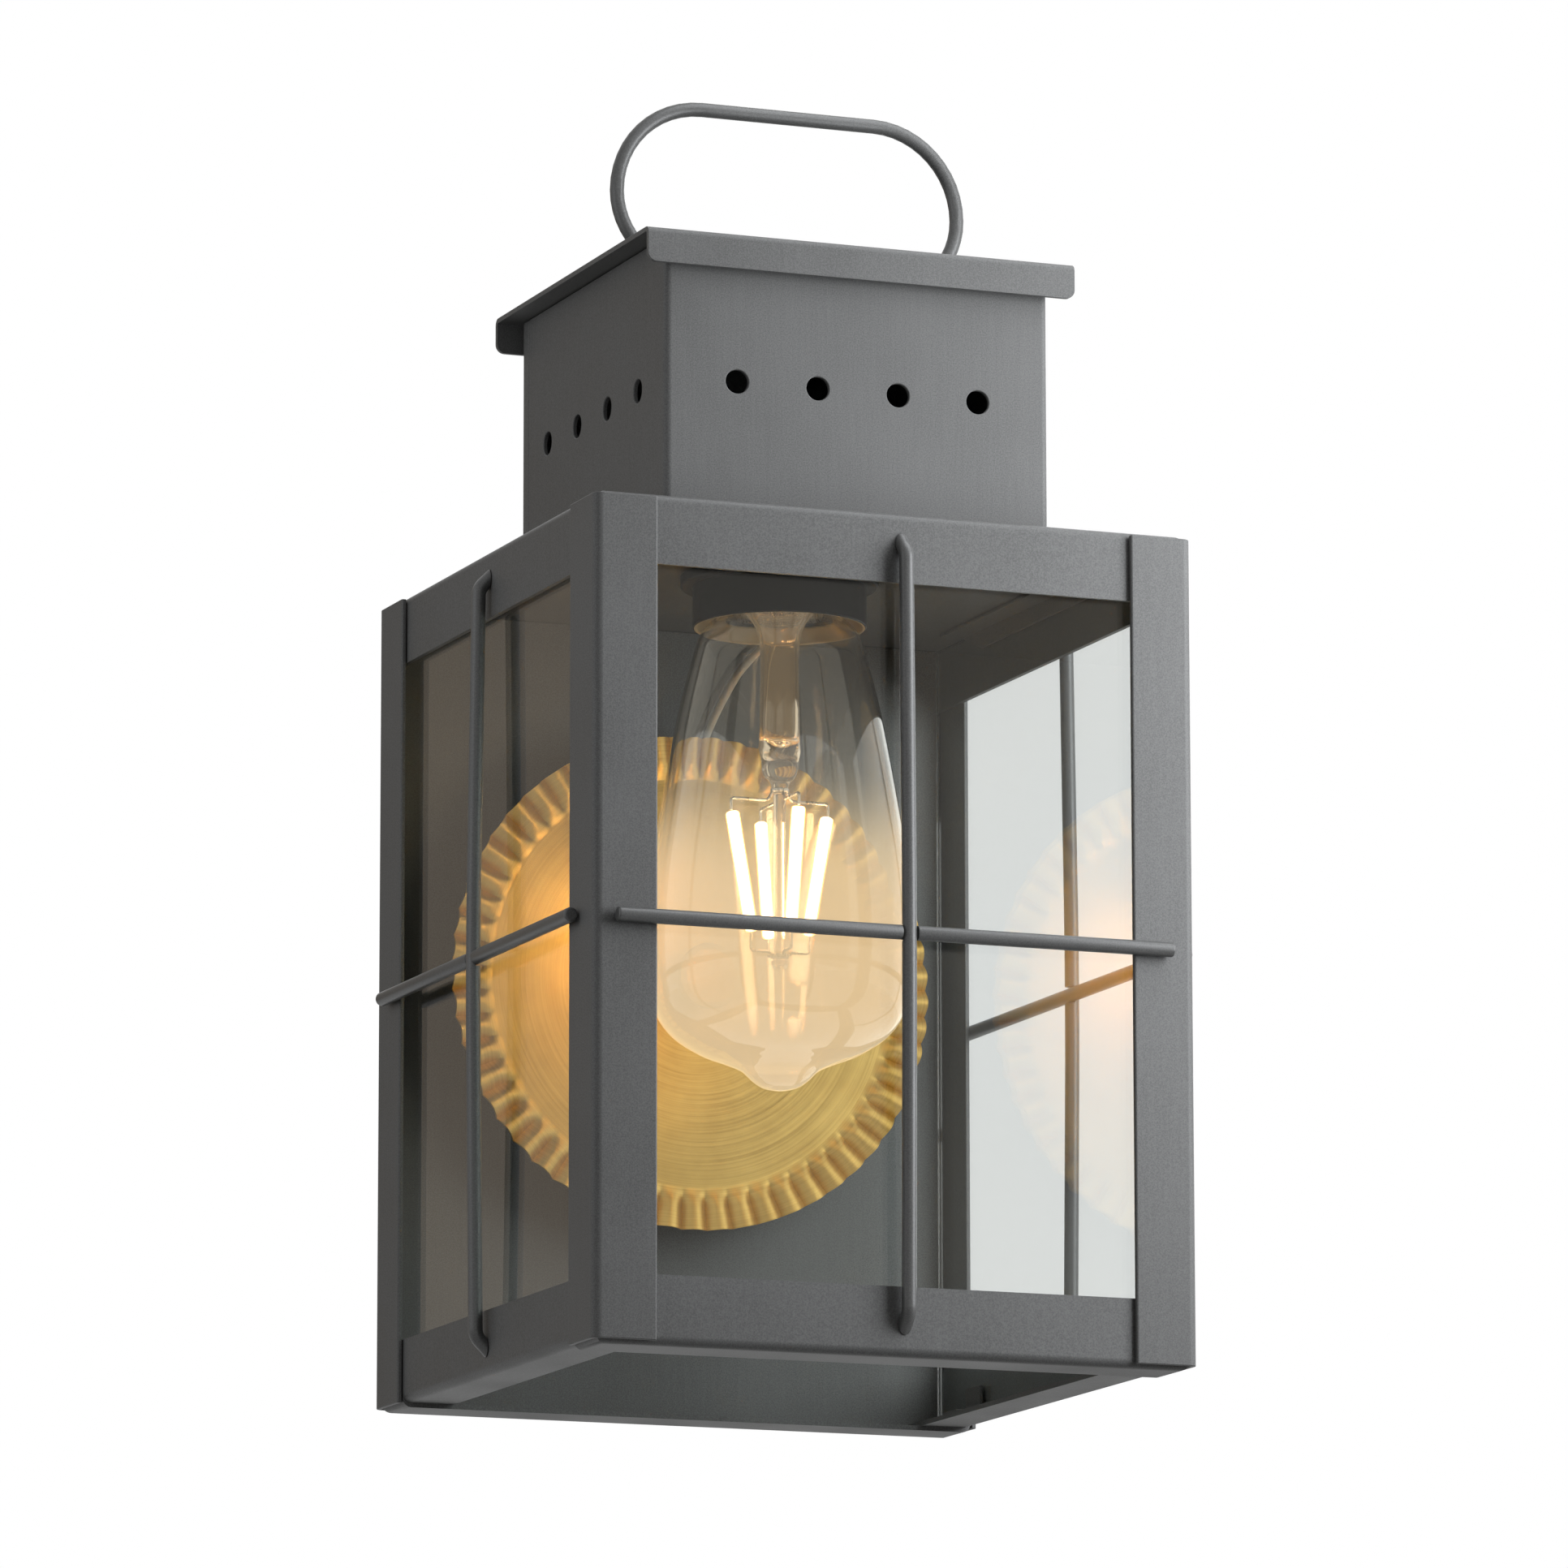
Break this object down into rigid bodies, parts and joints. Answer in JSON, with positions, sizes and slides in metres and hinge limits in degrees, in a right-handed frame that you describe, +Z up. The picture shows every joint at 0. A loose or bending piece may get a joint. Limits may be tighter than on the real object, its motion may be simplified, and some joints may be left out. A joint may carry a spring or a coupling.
{
  "type": "outdoor wall sconce",
  "caption": "Square lantern wall light with glass sides behind crossed guard bars, a capped chimney with vent holes, a rod handle, a filament lamp and a crimped round brass reflector.",
  "frame": {"origin": "on the wall, at the middle of the mounting strap's rear face, which is on the reflector's axis, 108.2 mm above the body's bottom edge", "axes": "+X to the viewer's right, +Y into the wall, +Z up"},
  "size_m": [0.1606, 0.1566, 0.315],
  "materials": {
    "graphite": "graphite grey metallic powder coat on sheet steel, satin",
    "pane_glass": "clear flat glass, polished",
    "lamp_glass": "clear blown glass, polished",
    "black_metal": "black satin paint on spun steel",
    "porcelain": "cream glaze",
    "brass": "spun and brushed, lacquered",
    "zinc": "zinc plated steel",
    "nickel": "nickel plated brass and nickel wire",
    "cap_insulator": "black vitrified insulator",
    "filament": "yellow phosphor coat, glowing",
    "ground_green": "green dyed zinc plate",
    "rubber": "matt black",
    "lead_black": "black wire insulation",
    "lead_white": "white wire insulation",
    "connector": "orange moulded wire connector"
  },
  "bodies": {
    "lantern": {"roof_tray": "graphite", "bottom_frame": "graphite", "back_panel": "graphite", "wiring_pan": "graphite", "chimney_wrap": "graphite", "chimney_back": "graphite", "lid": "graphite", "handle": "graphite", "front_left_post": "graphite", "front_right_post": "graphite", "rear_left_post": "graphite", "rear_right_post": "graphite", "front_pane_clip_a": "graphite", "front_pane_clip_b": "graphite", "front_pane_retainer": "graphite", "left_pane_clip_a": "graphite", "left_pane_clip_b": "graphite", "left_pane_retainer": "graphite", "right_pane_clip_a": "graphite", "right_pane_clip_b": "graphite", "right_pane_retainer": "graphite", "front_cross_bar": "graphite", "front_upright_bar": "graphite", "left_cross_bar": "graphite", "left_upright_bar": "graphite", "right_cross_bar": "graphite", "right_upright_bar": "graphite", "front_pane": "pane_glass", "left_pane": "pane_glass", "right_pane": "pane_glass", "lampholder_cup": "black_metal", "lampholder_porcelain": "porcelain", "lampholder_screw_shell": "brass", "lampholder_centre_contact": "brass", "lampholder_nipple": "brass", "lampholder_nut": "brass", "live_terminal_screw": "brass", "neutral_terminal_screw": "brass", "reflector": "brass", "lampholder_bracket": "zinc", "mounting_stud": "zinc", "mounting_strap": "zinc", "ground_screw": "ground_green", "lead_grommet": "rubber", "live_lead": "lead_black", "neutral_lead": "lead_white", "live_connector": "connector", "neutral_connector": "connector"},
    "lamp": {"lamp_glass": "lamp_glass", "lamp_cap": "nickel", "lamp_cap_insulator": "cap_insulator", "lamp_cap_contact": "nickel", "lamp_stem": "lamp_glass", "lamp_upper_support": "nickel", "lamp_lower_support": "nickel", "lamp_filament_right": "filament", "lamp_filament_rear": "filament", "lamp_filament_left": "filament", "lamp_filament_front": "filament"},
    "knob": {"reflector_knob": "brass"}
  },
  "joints": [
    {"name": "lamp_release", "type": "slide", "parent": "lantern", "child": "lamp", "axis": [0, 0, -1], "range_m": [0, 0.225]},
    {"name": "knob_release", "type": "slide", "parent": "lantern", "child": "knob", "axis": [0, -1, 0], "range_m": [0, 0.014]}
  ]
}
